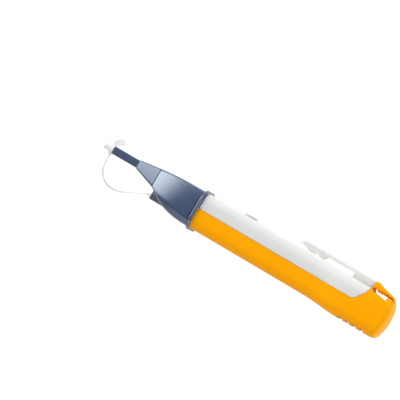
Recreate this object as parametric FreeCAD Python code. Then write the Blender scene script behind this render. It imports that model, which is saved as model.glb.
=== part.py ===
"""Live fiber detector: a pen-shaped probe that shows whether a fibre carries light.

Millimetres. The tool lies on its flat side, +Z up and +X toward the probe tip, with the button and
clip toward -Y. Shapes are first made about the body's axis, with x forward from the middle of the
collar, h from the axis toward the button side (-Y) and w across (+Z), then moved to the frame
whose origin is the middle of the footprint on the table.
"""

import FreeCAD
import Part
import math
import os

Vector = FreeCAD.Vector

# Body: a rounded-square pen, split along its length into an orange shell and a white cover.
BODY_WIDTH = 20.0
BODY_HEIGHT = 19.8
BODY_CORNER = 5.0
BODY_WALL = 1.6
PARTING_HEIGHT = 0.8
PARTING_GAP = 0.12
LIP_HEIGHT = 1.2
LIP_THICK = 0.7
LIP_GAP = 0.15
LIP_END_GAP = 2.0

# Collar at the root of the nose. The grip swells as far, so the tool lies level on its side.
COLLAR_THICK = 1.6
COLLAR_LIP = 1.2
COLLAR_ROUND = 0.5
SPIGOT_LENGTH = 6.0
SPIGOT_WALL = 1.4
SEAT_CLEARANCE = 0.15

# Cells in line, with the contacts that close the circuit.
CELL_DIAMETER = 10.5
CELL_LENGTH = 44.5
CELL_NUB_DIAMETER = 3.8
CELL_NUB_LENGTH = 0.8
CELL_FLOOR_GAP = 0.45
CELL_CLEARANCE = 0.2
CELL_BOARD_GAP = 0.5
CELL_EDGE = 0.5
BULKHEAD_GAP = 2.8
BULKHEAD_THICK = 1.5
CRADLE_THICK = 1.2
CRADLE_INSET = 8.0
CONTACT_THICK = 0.4
CONTACT_SIZE = 7.0
CONTACT_TAB_WIDTH = 2.0
SPRING_LENGTH = 3.6
SPRING_WIRE = 0.6
SPRING_TURNS = 3
SPRING_BASE_RADIUS = 3.4
SPRING_TOP_RADIUS = 2.2
STRIP_WIDTH = 3.0
STRIP_HEIGHT = 0.5
STRIP_CLEARANCE = 0.3
RISER_LENGTH = 3.0

# Rear end: swollen grip, crowned end, vee-shaped cover edge, belly ribs and lanyard loop.
END_WALL = 5.8
END_CROWN_RADIUS = 28.0
END_ROUND = 2.5
GRIP_FULL = 22.3
GRIP_SWELL = 20.0
GRIP_SECTIONS = 5
VEE_FOOT = 19.4
VEE_SHOULDER = 15.0
VEE_SHOULDER_HEIGHT = 7.2
VEE_TOP = 14.3
VEE_ROUND = 3.0
RIB_FIRST = 8.8
RIB_PITCH = 3.95
RIB_COUNT = 4
RIB_RADIUS = 1.4
RIB_DEPTH = 1.4
LOOP_WIDTH = 9.5
LOOP_PEAK_RISE = 4.5
LOOP_PEAK = 12.9
LOOP_SHOULDER = 10.6
LOOP_SHOULDER_RISE = 3.4
LOOP_REAR = 3.3
LOOP_REAR_RISE = 1.6
LOOP_ROUND = 0.6
SLOT_FRONT = 13.5
SLOT_REAR = 5.3
SLOT_FLOOR_DROP = 0.83
SLOT_FLOOR_SLOPE = 1.55
SLOT_RISE = 0.05
SLOT_FRONT_RISE = 2.3
SLOT_FRONT_LENGTH = 2.2
SLOT_ROUND = 0.6
BAR_BEVEL_RISE = 1.2
BAR_BEVEL_DEPTH = 1.4
BAR_BEVEL_SPILL = 0.25

# Pocket clip, moulded with the cover.
CLIP_ROOT = 26.2
CLIP_LENGTH = 30.5
CLIP_WIDTH = 8.0
CLIP_TIP_WIDTH = 6.4
CLIP_GAP = 2.5
CLIP_THICK = 2.0
CLIP_TIP_THICK = 0.9
CLIP_TIP_DROP = 1.2
CLIP_TIP_SLOPE = 3.0
CLIP_TOOTH_GAP = 0.4
CLIP_LEAD = 6.0
CLIP_TOOTH = 1.9
CLIP_NOTCH = 3.8
CLIP_NOTCH_DEPTH = 1.4
CLIP_HEEL = 1.4
CLIP_ROUND = 0.5
CLIP_CREST_ROUND = 1.2
CLIP_TIP_CREST_ROUND = 0.8

# Cover hook: a tongue under the collar, and a rounded front edge that the cover swings on.
HINGE_ROUND = 0.5
TONGUE_WIDTH = 6.0
TONGUE_THICK = 1.0
TONGUE_REACH = 1.6
TONGUE_DROP = 0.9
TONGUE_ROOT = 3.0
TONGUE_CLEARANCE = 0.2
COVER_SWING = 25.0

# Button stack, from the cover down to the board.
BUTTON_SETBACK = 23.8
BUTTON_DIAMETER = 6.8
BUTTON_RISE = 1.1
BUTTON_DOME = 0.5
BUTTON_CLEARANCE = 0.3
BUTTON_FLANGE_DIAMETER = 8.8
BUTTON_FLANGE_THICK = 0.6
BUTTON_FLANGE_GAP = 0.2
BUTTON_STEM_DIAMETER = 3.0
BUTTON_TRAVEL = 0.4
BUTTON_STOP_GAP = 0.06
PLUNGER_DIAMETER = 3.2
PLUNGER_LENGTH = 0.6
PLUNGER_CLEARANCE = 0.1
SWITCH_SIZE = 6.2
SWITCH_HEIGHT = 0.8
SWITCH_FLOOR = 0.2

# Circuit board and the pieces on it.
BOARD_THICK = 0.8
BOARD_TAIL = 6.4
BOARD_TAPER = 16.5
BOARD_WALL_GAP = 1.2
BOARD_NECK_GAP = 0.8
BOARD_POST_THICK = 1.4
BOARD_POST_WIDTH = 1.9
BOARD_POST_GAP = 0.4
BUZZER_DIAMETER = 9.0
BUZZER_HEIGHT = 2.2
BUZZER_HOLE = 1.4
BUZZER_SETBACK = 12.0
CHIP_LENGTH = 4.9
CHIP_WIDTH = 3.9
CHIP_HEIGHT = 1.5
CHIP_FRONT = 7.0
CHIP_PINS = 4
CHIP_PIN_PITCH = 1.27
CHIP_PIN_WIDTH = 0.4
CHIP_PIN_REACH = 1.0
CHIP_PIN_THICK = 0.25
LED_LENGTH = 1.6
LED_WIDTH = 3.0
LED_HEIGHT = 1.0
LED_GAP = 0.8
DIODE_DIAMETER = 3.0
DIODE_LENGTH = 4.4
DIODE_FLANGE = 0.3
DIODE_FLANGE_LENGTH = 1.0
DIODE_LEAD = 0.45
DIODE_LEAD_PITCH = 2.54
DIODE_LEAD_LAP = 2.0
DIODE_STANDOFF = 0.8
DIODE_GAP = 1.3
PROBE_RISE = 0.69

# Nose: as large as the body at the collar, with tighter corners, and closes in ever faster toward the seam.
NOSE_LENGTH = 27.2
NOSE_SWEEP = 2.5
NOSE_SIDE_SWEEP = 3.2
NOSE_CORNER = 2.8
NOSE_CORNER_SWEEP = 2.0
NOSE_SECTIONS = 6
SEAM_ABOVE = 4.0
SEAM_BELOW = 6.5
SEAM_HALF_WIDTH = 5.6
SEAM_CORNER = 1.4
SEAM_INNER_CORNER = 0.45
SEAM_GROOVE = 0.3
SEAM_GROOVE_DEPTH = 0.35
MOUTH_WALL = 1.6
MOUTH_LENGTH = 4.2
TIP_LENGTH = 12.8
TIP_FRONT_SIZE = 5.0
TIP_FRONT_CORNER = 1.0
TIP_PLUG_CLEARANCE = 0.1

# Lug under the nose, with the plug that anchors the tether.
LUG_SETBACK = 0.8
LUG_LENGTH = 11.4
LUG_DEPTH = 5.84
LUG_WIDTH = 3.2
LUG_ROUND = 0.5
TETHER_DIAMETER = 1.0
TETHER_DROP = 4.1
TETHER_SEAT_GAP = 0.03
PLUG_DIAMETER = 1.9
PLUG_DEPTH = 3.2
PLUG_HEAD_DIAMETER = 2.4
PLUG_HEAD_LENGTH = 0.6
PLUG_CLEARANCE = 0.05

# Probe with its light guide.
PROBE_SIZE = 4.2
PROBE_CORNER = 0.9
PROBE_LENGTH = 15.7
PROBE_SEAT = 10.0
PROBE_ROUND = 0.5
PROBE_SPIGOT_DIAMETER = 2.8
PROBE_SPIGOT_LENGTH = 2.0
PROBE_CLEARANCE = 0.05
GUIDE_DIAMETER = 1.8
GUIDE_CLEARANCE = 0.05
GUIDE_WAY_CLEARANCE = 0.1
GUIDE_GAP = 0.3

# Clear adapter that takes a 1.25 mm ferrule, with its finger tab.
FERRULE_BORE = 1.27
ADAPTER_GAP = 0.1
ADAPTER_CLEARANCE = 0.1
ADAPTER_RING_DIAMETER = 5.2
ADAPTER_RING_LENGTH = 2.3
ADAPTER_NIPPLE_DIAMETER = 3.4
ADAPTER_NIPPLE_LENGTH = 3.2
ADAPTER_ROUND = 0.3
ADAPTER_STUB_DIAMETER = 1.8
ADAPTER_STUB_DROP = 3.4
TAB_THICK = 1.2
TAB_RISE = 7.3
TAB_LENGTH = 7.2
TAB_ROUND = 0.9

# Places along the axis, worked out from the sizes above.
COLLAR_REAR = -COLLAR_THICK / 2
BULKHEAD_REAR = COLLAR_REAR - SPIGOT_LENGTH - BULKHEAD_GAP - BULKHEAD_THICK
CELLS_FRONT = BULKHEAD_REAR - CONTACT_THICK
CELLS_REAR = CELLS_FRONT - 2 * CELL_LENGTH
STRIP_FRONT = CELLS_REAR - SPRING_LENGTH
CAVITY_REAR = STRIP_FRONT - CONTACT_THICK
REAR_END = CAVITY_REAR - END_WALL
COVER_FRONT = COLLAR_REAR - PARTING_GAP
BUTTON_PLACE = COLLAR_REAR - BUTTON_SETBACK
MOUTH_REAR = NOSE_LENGTH - MOUTH_LENGTH
DIODE_FRONT = MOUTH_REAR - DIODE_GAP
DIODE_REAR = DIODE_FRONT - DIODE_LENGTH
BOARD_FRONT = DIODE_REAR - DIODE_STANDOFF
LUG_FRONT = NOSE_LENGTH - LUG_SETBACK
TIP_FRONT = NOSE_LENGTH + SEAM_GROOVE + TIP_LENGTH
PROBE_FRONT = TIP_FRONT + PROBE_LENGTH
ADAPTER_REAR = PROBE_FRONT + ADAPTER_GAP
RING_FRONT = ADAPTER_REAR + ADAPTER_RING_LENGTH
FRONT_END = RING_FRONT + ADAPTER_NIPPLE_LENGTH

# Levels and half-widths of the section.
BODY_TOP = BODY_HEIGHT / 2
BODY_SIDE = BODY_WIDTH / 2
CAVITY_TOP = BODY_TOP - BODY_WALL
CAVITY_SIDE = BODY_SIDE - BODY_WALL
CAVITY_CORNER = BODY_CORNER - BODY_WALL
REST_SIDE = BODY_SIDE + COLLAR_LIP
CELL_AXIS = CELL_FLOOR_GAP + CELL_DIAMETER / 2 - CAVITY_TOP
FLANGE_TOP = CAVITY_TOP - BUTTON_FLANGE_GAP
BOARD_BOTTOM = CELL_AXIS + CELL_DIAMETER / 2 + CELL_BOARD_GAP
BOARD_TOP = BOARD_BOTTOM + BOARD_THICK
STEM_BOTTOM = BOARD_TOP + SWITCH_HEIGHT + BUTTON_STOP_GAP + BUTTON_TRAVEL
PROBE_AXIS = BOARD_TOP + PROBE_RISE
NOSE_UNDER = PROBE_AXIS - SEAM_BELOW
LUG_UNDER = NOSE_UNDER - LUG_DEPTH
TETHER_LEVEL = NOSE_UNDER - TETHER_DROP
SPIGOT_INSET = BODY_WALL + SEAT_CLEARANCE
ROOM_INSET = SPIGOT_INSET + SPIGOT_WALL
STRIP_SIDE = CAVITY_SIDE - STRIP_CLEARANCE
HINGE_PLACE = COVER_FRONT - HINGE_ROUND
HINGE_HEIGHT = BODY_TOP - HINGE_ROUND
LOOP_TOP = BODY_TOP + LOOP_PEAK_RISE
CLIP_UNDER = BODY_TOP + CLIP_GAP
CLIP_TOP = CLIP_UNDER + CLIP_THICK
BELLY = BODY_TOP + COLLAR_LIP

# The share of the shorter run that each of the tether's arcs takes, and a length too small to matter.
TETHER_TRIM = 0.45
TINY = 1e-6

# The frame's origin, under the middle of the solids, seen from the body's axis.
ORIGIN_X = (FRONT_END + REAR_END) / 2
ORIGIN_H = (max(LOOP_TOP, CLIP_TOP) - BELLY) / 2
ORIGIN_W = -REST_SIDE

# The tether's route from the lug to the adapter: the share of the straight run between its two ends,
# then how far each point lies off that run in h and w. It droops to the table beside the probe.
TETHER_POINTS = (
    (0.0347, -0.25, 0.00),
    (0.0689, -0.58, -0.17),
    (0.1014, -0.99, -0.50),
    (0.1311, -1.45, -0.98),
    (0.2031, -2.88, -2.71),
    (0.2915, -4.55, -4.66),
    (0.3788, -6.27, -6.63),
    (0.4682, -8.06, -8.47),
    (0.5636, -9.92, -10.00),
    (0.6705, -11.80, -10.60),
    (0.7823, -13.03, -9.95),
    (0.8770, -12.82, -8.21),
    (0.9451, -11.44, -6.13),
    (0.9883, -9.31, -4.04),
    (1.0058, -6.58, -2.15),
    (1.0013, -3.38, -0.57),
    (1.0003, -2.14, -0.17),
    (1.0000, -1.05, 0.00),
)


def point(x, h, w=0.0):
    return Vector(x, -h, w)


def polygon(points):
    """A face in the x, h plane, in the middle of the width."""
    corners = [point(x, h) for x, h in points]
    return Part.Face(Part.makePolygon(corners + corners[:1]))


def plate(points, width):
    """The outline given in x and h, as thick as width, centred across the body."""
    face = polygon(points)
    face.translate(Vector(0, 0, -width / 2))
    return face.extrude(Vector(0, 0, width))


def box(x, h, w):
    """A box from pairs of limits along x, h and w."""
    (x0, x1), (h0, h1), (w0, w1) = (sorted(pair) for pair in (x, h, w))
    return Part.makeBox(x1 - x0, h1 - h0, w1 - w0, point(x0, h1, w0))


def rod(diameter, x0, x1, h=0.0):
    """A cylinder along the axis."""
    return Part.makeCylinder(diameter / 2, abs(x1 - x0), point(min(x0, x1), h), Vector(1, 0, 0))


def post(diameter, h0, h1, x):
    """A cylinder square to the axis, toward the button side."""
    return Part.makeCylinder(diameter / 2, abs(h1 - h0), point(x, max(h0, h1)), Vector(0, 1, 0))


def section(x, top, bottom, side, corner):
    """A rounded rectangle across the axis at x, from eight edges that always start in one place."""
    reach = corner * (1 - math.sqrt(0.5))
    edges = []
    for up, right in ((1, 1), (-1, 1), (-1, -1), (1, -1)):
        level = top if up > 0 else bottom
        on_level = point(x, level, right * (side - corner))
        on_side = point(x, level - up * corner, right * side)
        middle = point(x, level - up * reach, right * (side - reach))
        ends = (on_level, on_side) if up == right else (on_side, on_level)
        edges.append((ends[0], middle, ends[1]))
    outline = []
    for index, (start, middle, end) in enumerate(edges):
        following = edges[(index + 1) % len(edges)][0]
        outline.append(Part.Arc(start, middle, end).toShape())
        outline.append(Part.makeLine(end, following))
    return Part.Wire(outline)


def bar(x0, x1, top, bottom, side, corner):
    """A straight length of that rounded rectangle."""
    return Part.Face(section(x0, top, bottom, side, corner)).extrude(Vector(x1 - x0, 0, 0))


def body_bar(x0, x1, inset=0.0):
    """A straight length of the body's section, made smaller all round by inset."""
    top = BODY_TOP - inset
    return bar(x0, x1, top, -top, BODY_SIDE - inset, BODY_CORNER - inset)


def edges_where(shape, test):
    return [edge for edge in shape.Edges if test(edge)]


def spans(edge):
    """The size of an edge's box along x, y and z."""
    size = edge.BoundBox
    return size.XLength, size.YLength, size.ZLength


def ease(low, high, share):
    """A smooth step from low to high."""
    return low + (high - low) * share * share * (3 - 2 * share)


def fused(shapes):
    shapes = list(shapes)
    return shapes[0].fuse(shapes[1:]).removeSplitter()


def end_crown():
    """A drum whose rear face is the crowned end."""
    centre = point(REAR_END + END_CROWN_RADIUS, 0, -BODY_WIDTH)
    return Part.makeCylinder(END_CROWN_RADIUS, 2 * BODY_WIDTH, centre, Vector(0, 0, 1))


def grip():
    """The swollen rear of the pen, rounded at its crowned end."""
    straight = bar(REAR_END + GRIP_FULL, REAR_END, BODY_TOP, -BELLY, REST_SIDE, BODY_CORNER)
    crowned = straight.common(end_crown())
    rear = [face for face in crowned.Faces if face.CenterOfMass.x < REAR_END + END_ROUND / 2]
    rounded = crowned.makeFillet(END_ROUND, rear[0].Edges)
    wires = []
    for index in range(GRIP_SECTIONS):
        share = index / (GRIP_SECTIONS - 1)
        swell = ease(0.0, COLLAR_LIP, share)
        place = REAR_END + GRIP_FULL + GRIP_SWELL * (1 - share)
        wires.append(section(place, BODY_TOP, -BODY_TOP - swell, BODY_SIDE + swell, BODY_CORNER))
    return rounded, Part.makeLoft(wires, True)


def lanyard_loop():
    """The fin over the rear end that carries the lanyard bar."""
    foot = CAVITY_TOP - BODY_WALL
    outline = plate(
        (
            (REAR_END + VEE_SHOULDER, foot),
            (REAR_END + VEE_TOP, LOOP_TOP - LOOP_ROUND),
            (REAR_END + LOOP_PEAK, LOOP_TOP),
            (REAR_END + LOOP_SHOULDER, BODY_TOP + LOOP_SHOULDER_RISE),
            (REAR_END + LOOP_REAR, BODY_TOP + LOOP_REAR_RISE),
            (REAR_END, BODY_TOP - END_ROUND),
            (REAR_END, foot),
        ),
        LOOP_WIDTH,
    )
    fin = outline.common(end_crown())
    crest = edges_where(fin, lambda edge: edge.CenterOfMass.y < -BODY_TOP - LOOP_REAR_RISE / 2)
    return fin.makeFillet(LOOP_ROUND, crest)


def lanyard_slot():
    """The hole across the rear end, under the bar."""
    floor = BODY_TOP - SLOT_FLOOR_DROP
    top = BODY_TOP + SLOT_RISE
    front = REAR_END + SLOT_FRONT
    rear = REAR_END + SLOT_REAR
    hole = plate(
        (
            (front, floor),
            (front, top + SLOT_FRONT_RISE),
            (front - SLOT_FRONT_LENGTH, top),
            (rear, top),
            (rear, floor - SLOT_FLOOR_SLOPE),
        ),
        2 * BODY_WIDTH,
    )
    return hole.makeFillet(SLOT_ROUND, edges_where(hole, lambda edge: spans(edge)[2] > BODY_WIDTH))


def bar_bevels():
    """Wedges that ease the two lower edges of the lanyard bar."""
    rear = REAR_END + SLOT_REAR + SLOT_ROUND
    run = Vector(SLOT_FRONT - SLOT_REAR - 2 * SLOT_ROUND, 0, 0)
    low = BODY_TOP + SLOT_RISE - BAR_BEVEL_SPILL * BAR_BEVEL_RISE
    high = BODY_TOP + SLOT_RISE + (1 + BAR_BEVEL_SPILL) * BAR_BEVEL_RISE
    inner = LOOP_WIDTH / 2 - (1 + BAR_BEVEL_SPILL) * BAR_BEVEL_DEPTH
    outer = LOOP_WIDTH / 2 + BAR_BEVEL_SPILL * BAR_BEVEL_DEPTH
    wedges = []
    for hand in (1, -1):
        corners = [point(rear, h, hand * w) for h, w in ((low, inner), (low, outer), (high, outer))]
        wedges.append(Part.Face(Part.makePolygon(corners + corners[:1])).extrude(run))
    return Part.makeCompound(wedges)


def cover_space(gap):
    """What lies above the parting line and ahead of the vee, less a gap all along it."""
    far = 3 * BODY_HEIGHT
    front = COLLAR_REAR - gap
    foot = REAR_END + VEE_FOOT + gap
    space = plate(
        (
            (front, PARTING_HEIGHT + gap),
            (foot, PARTING_HEIGHT + gap),
            (REAR_END + VEE_SHOULDER + gap, VEE_SHOULDER_HEIGHT),
            (REAR_END + VEE_TOP + gap, LOOP_TOP),
            (REAR_END + VEE_TOP + gap, far),
            (front, far),
        ),
        2 * BODY_WIDTH,
    )
    corner = edges_where(space, lambda edge: abs(edge.CenterOfMass.x - foot) < TINY
                         and spans(edge)[2] > BODY_WIDTH)
    return space.makeFillet(VEE_ROUND, corner)


def body_outside():
    """The whole pen behind the collar, before it is split and hollowed."""
    rounded, swell = grip()
    return fused((body_bar(COLLAR_REAR, REAR_END + GRIP_FULL + GRIP_SWELL), swell, rounded))


def belly_ribs():
    """Scallops across the belly, under the rear end."""
    axis = -BELLY + RIB_DEPTH - RIB_RADIUS
    scallops = []
    for index in range(RIB_COUNT):
        place = REAR_END + RIB_FIRST + index * RIB_PITCH
        start = point(place, axis, -BODY_WIDTH)
        scallops.append(Part.makeCylinder(RIB_RADIUS, 2 * BODY_WIDTH, start, Vector(0, 0, 1)))
    return Part.makeCompound(scallops)


def lip_bar(front, outer, inner, grow):
    """A length of the body's wall between two insets, from just under the parting line to above it."""
    rear = REAR_END + VEE_FOOT + LIP_END_GAP - grow
    ring = body_bar(front, rear, outer).cut(body_bar(front, rear, inner))
    levels = (PARTING_HEIGHT - LIP_THICK, PARTING_HEIGHT + LIP_HEIGHT + grow)
    return ring.common(box((front, rear), levels, (-BODY_WIDTH, BODY_WIDTH)))


def cell_places():
    """The front and rear ends of the two cells."""
    middle = CELLS_FRONT - CELL_LENGTH
    return (CELLS_FRONT, middle), (middle, CELLS_REAR)


def inside_frame():
    """Bulkhead, cell cradles and board posts, moulded with the shell."""
    core = body_bar(COLLAR_REAR, CAVITY_REAR, BODY_WALL / 2)
    free_side = CAVITY_SIDE - BOARD_POST_GAP
    floor = -BODY_TOP
    bulkhead_top = BOARD_BOTTOM - BOARD_POST_GAP
    bulkhead = (BULKHEAD_REAR, BULKHEAD_REAR + BULKHEAD_THICK)
    pieces = [box(bulkhead, (floor, bulkhead_top), (-free_side, free_side))]
    for front, rear in cell_places():
        for place in (front - CRADLE_INSET, rear + CRADLE_INSET):
            pieces.append(box((place, place - CRADLE_THICK), (floor, CELL_AXIS), (-BODY_SIDE, BODY_SIDE)))
    for place in board_post_places():
        for hand in (1, -1):
            side = (hand * free_side, hand * (free_side - BOARD_POST_WIDTH))
            pieces.append(box((place, place - BOARD_POST_THICK), (floor, BOARD_BOTTOM), side))
    channel = rod(CELL_DIAMETER + 2 * CELL_CLEARANCE, CELLS_FRONT, CAVITY_REAR, CELL_AXIS)
    return Part.makeCompound(pieces).common(core).cut(channel)


def board_post_places():
    """The front faces of the two pairs of posts, behind the bulkhead and behind the switch."""
    rear = BUTTON_PLACE - SWITCH_SIZE / 2 - BOARD_POST_THICK / 2
    return (BULKHEAD_REAR - BOARD_POST_THICK, rear)


def lower_shell():
    outside = fused((body_outside(), lanyard_loop()))
    crown = PARTING_HEIGHT + CAVITY_CORNER
    cavity = bar(COLLAR_REAR, CAVITY_REAR, crown, -CAVITY_TOP, CAVITY_SIDE, CAVITY_CORNER)
    shell = outside.cut(cover_space(0.0)).cut(cavity).cut(lanyard_slot())
    shell = shell.cut(bar_bevels()).cut(belly_ribs())
    lip = lip_bar(COLLAR_REAR - LIP_END_GAP, BODY_WALL - LIP_THICK, BODY_WALL, 0.0)
    return fused((shell, inside_frame(), lip)).cut(strip_path(STRIP_CLEARANCE / 2))


def pocket_clip():
    """The clip arm with its two gripping teeth, and the ridge that it grows from."""
    root = REAR_END + CLIP_ROOT
    tip = root + CLIP_LENGTH
    rear = REAR_END + VEE_TOP - PARTING_GAP
    teeth = BODY_TOP + CLIP_TOOTH_GAP
    first = tip - CLIP_LEAD
    second = first - CLIP_TOOTH - CLIP_NOTCH
    heel = second - CLIP_TOOTH
    arm = plate(
        (
            (rear, CAVITY_TOP),
            (rear, CLIP_TOP),
            (tip - CLIP_TIP_SLOPE, CLIP_TOP),
            (tip + CLIP_ROUND, CLIP_TOP - CLIP_TIP_DROP),
            (tip, CLIP_TOP - CLIP_TIP_DROP - CLIP_TIP_THICK),
            (first, teeth),
            (first - CLIP_TOOTH, teeth),
            (first - CLIP_TOOTH - CLIP_NOTCH / 2, teeth + CLIP_NOTCH_DEPTH),
            (second, teeth),
            (heel, teeth),
            (heel - CLIP_HEEL, CLIP_UNDER),
            (root, CLIP_UNDER),
            (root, CAVITY_TOP),
        ),
        2 * CLIP_WIDTH,
    )
    crests = (
        (rear, CLIP_WIDTH, CLIP_CREST_ROUND),
        (root, CLIP_WIDTH, CLIP_CREST_ROUND),
        (tip + 2 * CLIP_ROUND, CLIP_TIP_WIDTH, CLIP_TIP_CREST_ROUND),
    )
    outlines = [section(x, CLIP_TOP, 0.0, width / 2, corner) for x, width, corner in crests]
    return arm.common(Part.makeLoft(outlines, True, True))


def tongue_reach(clearance):
    """The hook under the collar; with a clearance, the room that it swings in."""
    top = BODY_TOP - TONGUE_DROP + clearance
    dip = (TONGUE_REACH + HINGE_ROUND) * math.sin(math.radians(COVER_SWING)) if clearance else 0.0
    bottom = top - TONGUE_THICK - 2 * clearance - dip
    side = TONGUE_WIDTH / 2 + clearance
    return box((COVER_FRONT - TONGUE_ROOT - clearance, COVER_FRONT + TONGUE_REACH + clearance),
               (bottom, top), (-side, side))


def top_cover():
    outside = body_outside().common(cover_space(PARTING_GAP))
    front = edges_where(outside, lambda edge: edge.BoundBox.XMin > COVER_FRONT - TINY
                        and edge.BoundBox.YMax < -PARTING_HEIGHT - 2 * PARTING_GAP)
    hollow = outside.makeFillet(HINGE_ROUND, front).cut(body_bar(COLLAR_REAR, REAR_END, BODY_WALL))
    clip = pocket_clip().common(cover_space(PARTING_GAP))
    rebate = lip_bar(COLLAR_REAR, BODY_WALL - LIP_THICK - LIP_GAP, BODY_WALL + LIP_GAP, LIP_GAP)
    whole = fused((hollow.cut(rebate), clip, tongue_reach(0.0)))
    return whole.cut(post(BUTTON_DIAMETER + 2 * BUTTON_CLEARANCE, 0, LOOP_TOP, BUTTON_PLACE))


def power_button():
    cap = post(BUTTON_DIAMETER, FLANGE_TOP, BODY_TOP + BUTTON_RISE, BUTTON_PLACE)
    crest = edges_where(cap, lambda edge: edge.BoundBox.YMax < -BODY_TOP)
    domed = cap.makeFillet(BUTTON_DOME, crest)
    flange = post(BUTTON_FLANGE_DIAMETER, FLANGE_TOP, FLANGE_TOP - BUTTON_FLANGE_THICK, BUTTON_PLACE)
    stem = post(BUTTON_STEM_DIAMETER, FLANGE_TOP - BUTTON_FLANGE_THICK, STEM_BOTTOM, BUTTON_PLACE)
    return fused((domed, flange, stem))


def switch_plunger():
    return post(PLUNGER_DIAMETER, STEM_BOTTOM - PLUNGER_LENGTH, STEM_BOTTOM, BUTTON_PLACE)


def tact_switch():
    half = SWITCH_SIZE / 2
    length = (BUTTON_PLACE - half, BUTTON_PLACE + half)
    case = box(length, (BOARD_TOP, BOARD_TOP + SWITCH_HEIGHT), (-half, half))
    floor = BOARD_TOP + SWITCH_FLOOR
    return case.cut(post(PLUNGER_DIAMETER + 2 * PLUNGER_CLEARANCE, floor, CAVITY_TOP, BUTTON_PLACE))


def indicator_led():
    front = BUTTON_PLACE - SWITCH_SIZE / 2 - LED_GAP
    half = LED_WIDTH / 2
    return box((front, front - LED_LENGTH), (BOARD_TOP, BOARD_TOP + LED_HEIGHT), (-half, half))


def circuit_board():
    """A stepped board: wide over the cells, narrow through the spigot, tapered into the nose."""
    wide = CAVITY_SIDE - BOARD_WALL_GAP
    neck = nose_room_side(0.0) - BOARD_NECK_GAP
    front = nose_room_side(BOARD_FRONT) - BOARD_NECK_GAP
    step = COLLAR_REAR - SPIGOT_LENGTH - BOARD_NECK_GAP
    half = (
        (BUTTON_PLACE - BOARD_TAIL, wide),
        (step, wide),
        (step, neck),
        (BOARD_FRONT - BOARD_TAPER, neck),
        (BOARD_FRONT, front),
    )
    outline = list(half) + [(x, -w) for x, w in reversed(half)]
    corners = [point(x, BOARD_TOP, w) for x, w in outline]
    return Part.Face(Part.makePolygon(corners + corners[:1])).extrude(point(0, -BOARD_THICK))


def buzzer():
    place = COLLAR_REAR - BUZZER_SETBACK
    can = post(BUZZER_DIAMETER, BOARD_TOP, BOARD_TOP + BUZZER_HEIGHT, place)
    hole = post(BUZZER_HOLE, BOARD_TOP + BUZZER_HEIGHT / 2, CAVITY_TOP, place)
    return can.cut(hole)


def controller_chip():
    """A small package under the board, with a row of leads along each side."""
    rear = CHIP_FRONT - CHIP_LENGTH
    half = CHIP_WIDTH / 2
    drop = CHIP_PIN_THICK / 2
    pieces = [box((rear, CHIP_FRONT), (BOARD_BOTTOM - drop, BOARD_BOTTOM - CHIP_HEIGHT), (-half, half))]
    first = (rear + CHIP_FRONT - (CHIP_PINS - 1) * CHIP_PIN_PITCH) / 2
    for index in range(CHIP_PINS):
        place = first + index * CHIP_PIN_PITCH
        pieces.append(box((place - CHIP_PIN_WIDTH / 2, place + CHIP_PIN_WIDTH / 2),
                          (BOARD_BOTTOM, BOARD_BOTTOM - CHIP_PIN_THICK),
                          (-half - CHIP_PIN_REACH, half + CHIP_PIN_REACH)))
    return fused(pieces)


def photodiode():
    """A round-nosed diode ahead of the board, its two leads on the board's top face."""
    round_nose = DIODE_DIAMETER / 2
    body = rod(DIODE_DIAMETER, DIODE_REAR, DIODE_FRONT - round_nose, PROBE_AXIS)
    dome = Part.makeSphere(round_nose, point(DIODE_FRONT - round_nose, PROBE_AXIS))
    flange_front = DIODE_REAR + DIODE_FLANGE_LENGTH
    flange = rod(DIODE_DIAMETER + 2 * DIODE_FLANGE, DIODE_REAR, flange_front, PROBE_AXIS)
    reach = (BOARD_FRONT - DIODE_LEAD_LAP, DIODE_REAR + DIODE_FLANGE_LENGTH / 2)
    leads = []
    for hand in (1, -1):
        middle = hand * DIODE_LEAD_PITCH / 2
        side = (middle - DIODE_LEAD / 2, middle + DIODE_LEAD / 2)
        leads.append(box(reach, (BOARD_TOP, BOARD_TOP + DIODE_LEAD), side))
    return fused([body, dome, flange] + leads)


def battery(front, rear):
    """One cell with its nub toward the nose."""
    can = rod(CELL_DIAMETER, rear, front - CELL_NUB_LENGTH, CELL_AXIS)
    rims = edges_where(can, lambda edge: spans(edge)[0] < TINY)
    nub = rod(CELL_NUB_DIAMETER, front - CELL_NUB_LENGTH - CELL_EDGE, front, CELL_AXIS)
    return fused((can.makeChamfer(CELL_EDGE, rims), nub))


def front_contact():
    """A plate on the bulkhead with a tab up to the board."""
    depth = (CELLS_FRONT, BULKHEAD_REAR)
    half = CONTACT_SIZE / 2
    pad = box(depth, (CELL_AXIS - half, CELL_AXIS + half), (-half, half))
    tab_side = CONTACT_TAB_WIDTH / 2
    tab = box(depth, (CELL_AXIS + half, BOARD_BOTTOM), (-tab_side, tab_side))
    return fused((pad, tab))


def strip_path(grow):
    """The rear contact's plate, its run along the far wall and its riser beside the board."""
    half = CONTACT_SIZE / 2
    inner = -STRIP_SIDE + CONTACT_THICK
    run_levels = (STRIP_HEIGHT - STRIP_WIDTH / 2 - grow, STRIP_HEIGHT + STRIP_WIDTH / 2 + grow)
    riser_front = BULKHEAD_REAR + RISER_LENGTH / 2
    depth = (CAVITY_REAR, STRIP_FRONT)
    pad = box(depth, (CELL_AXIS - half, CELL_AXIS + half), (-half, half))
    arm = box(depth, run_levels, (-STRIP_SIDE, 0))
    run = box((CAVITY_REAR, riser_front + grow), run_levels, (-STRIP_SIDE - grow, inner + grow))
    riser = box((riser_front - RISER_LENGTH - grow, riser_front + grow),
                (STRIP_HEIGHT, BOARD_TOP + grow), (-STRIP_SIDE - grow, inner + grow))
    return fused((pad, arm, run, riser))


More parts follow.
